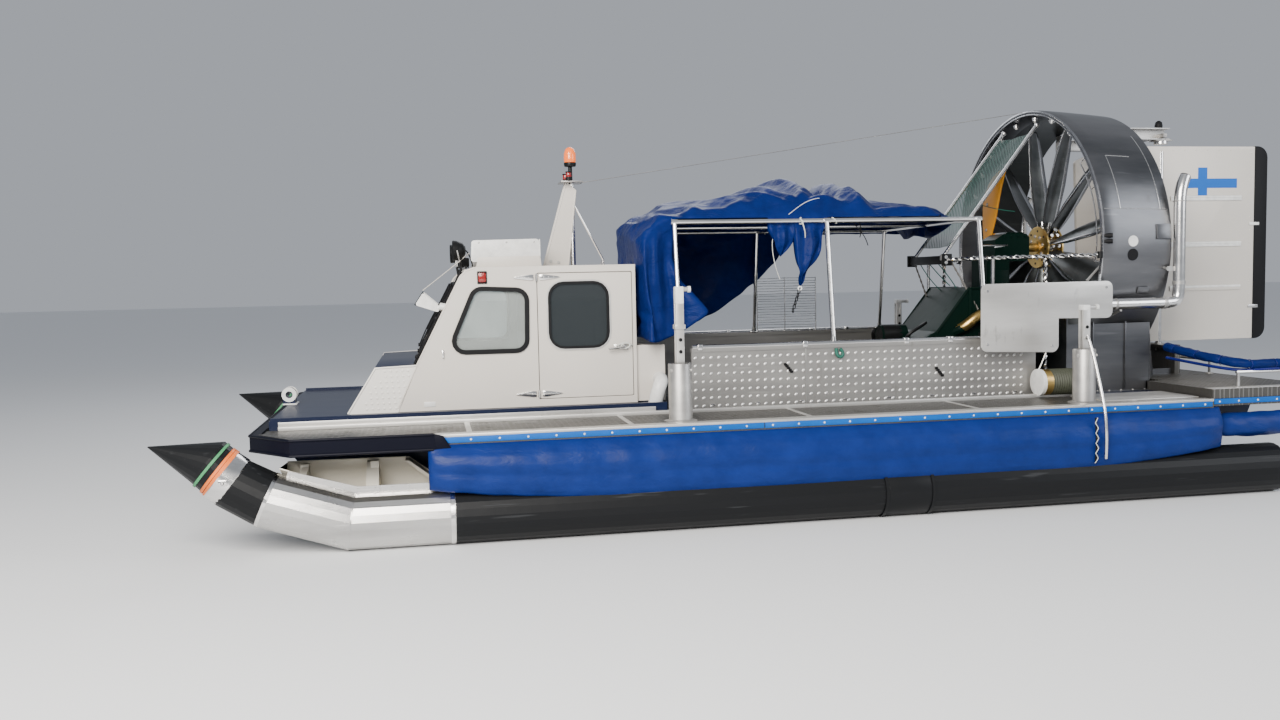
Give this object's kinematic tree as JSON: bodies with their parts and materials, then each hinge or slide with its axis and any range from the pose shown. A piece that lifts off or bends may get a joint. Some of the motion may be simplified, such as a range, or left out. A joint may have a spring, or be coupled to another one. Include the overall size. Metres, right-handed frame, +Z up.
{
  "type": "pontoon hovercraft with ducted fan",
  "caption": "Pontoon hovercraft with a closed cabin, blue skirt and cargo tarpaulin, a ducted fan that turns, twin coupled rudders and hinged cabin doors.",
  "frame": {"origin": "centre of the bounding box on the floor under the runner tubes", "axes": "+X forward to the bow, +Y to port, +Z up"},
  "size_m": [9.9796, 4.214, 3.425],
  "materials": {
    "black_plastic": "satin black pipe, scuffed",
    "steel": "brushed stainless steel",
    "navy_paint": "glossy dark navy paint",
    "deck_aluminium": "tread and dimpled aluminium plate, dull",
    "skirt_fabric": "royal blue coated fabric, semi-gloss",
    "cabin_paint": "warm light grey paint, satin",
    "window_glass": "tinted glass",
    "white_plastic": "white plastic",
    "tarpaulin": "blue tarpaulin, creased",
    "engine_green": "dark green paint, oily",
    "black_paint": "black paint",
    "yellow_paint": "yellow paint",
    "duct_steel": "rolled steel sheet with weld marks",
    "rudder_paint": "warm light grey paint, satin",
    "beacon_amber": "amber lamp on a black base",
    "net_cord": "teal green knotted net"
  },
  "bodies": {
    "root": {"runner_tube_port": "black_plastic", "runner_tube_starboard": "black_plastic", "runner_sheath_port": "steel", "runner_sheath_starboard": "steel", "runner_nose_port": "black_plastic", "runner_nose_starboard": "black_plastic", "spray_tray_port": "cabin_paint", "spray_tray_starboard": "cabin_paint", "hull": "navy_paint", "fore_deck": "navy_paint", "side_deck_port": "deck_aluminium", "side_deck_starboard": "deck_aluminium", "bow_apron": "navy_paint", "stern_platform": "deck_aluminium", "skirt_port": "skirt_fabric", "skirt_starboard": "skirt_fabric", "leg_front_port": "steel", "leg_front_starboard": "steel", "leg_aft_port": "steel", "leg_aft_starboard": "steel", "cabin_body": "cabin_paint", "cabin_side_port": "cabin_paint", "cabin_side_starboard": "cabin_paint", "side_glass_port": "window_glass", "side_glass_starboard": "window_glass", "windscreen": "window_glass", "rear_glass": "window_glass", "nose_step": "deck_aluminium", "roof_box": "cabin_paint", "mast": "cabin_paint", "beacon": "beacon_amber", "mirror_port": "white_plastic", "mirror_starboard": "white_plastic", "bulwark_port": "deck_aluminium", "bulwark_starboard": "deck_aluminium", "canopy_frame_port": "steel", "canopy_frame_starboard": "steel", "canopy_bars": "steel", "cargo_screen": "steel", "tarpaulin": "tarpaulin", "engine": "engine_green", "drive_housing": "black_paint", "belt_guard": "yellow_paint", "fan_guard": "black_paint", "guard_net": "net_cord", "duct": "duct_steel", "pedestal": "duct_steel", "exhaust_port": "steel", "exhaust_starboard": "steel", "shield_plate": "deck_aluminium", "air_duct": "engine_green", "stern_rail": "steel", "stern_roll": "skirt_fabric"},
    "fan": {"propeller": "steel"},
    "rudder_port": {"rudder_port": "rudder_paint"},
    "rudder_starboard": {"rudder_starboard": "rudder_paint"},
    "door_port": {"door_port": "cabin_paint", "door_glass_port": "window_glass"},
    "door_starboard": {"door_starboard": "cabin_paint", "door_glass_starboard": "window_glass"}
  },
  "joints": [
    {"name": "fan_spin", "type": "hinge", "parent": "root", "child": "fan", "pos_m": [-2.9, 0, 2.115], "axis": [1, 0, 0], "continuous": true},
    {"name": "rudder_port_turn", "type": "hinge", "parent": "root", "child": "rudder_port", "pos_m": [-3.835, 0.45, 2.1], "axis": [0, 0, 1], "range_deg": [-30, 30]},
    {"name": "rudder_starboard_turn", "type": "hinge", "parent": "root", "child": "rudder_starboard", "pos_m": [-3.835, -0.45, 2.1], "axis": [0, 0, 1], "range_deg": [-30, 30]},
    {"name": "door_port_swing", "type": "hinge", "parent": "root", "child": "door_port", "pos_m": [2.2025, 1.035, 1.44], "axis": [0, 0, -1], "range_deg": [0, 80]},
    {"name": "door_starboard_swing", "type": "hinge", "parent": "root", "child": "door_starboard", "pos_m": [2.2025, -1.035, 1.44], "axis": [0, 0, 1], "range_deg": [0, 80]}
  ],
  "couplings": [
    {"joint": "rudder_starboard_turn", "follows": "rudder_port_turn", "ratio": 1}
  ]
}
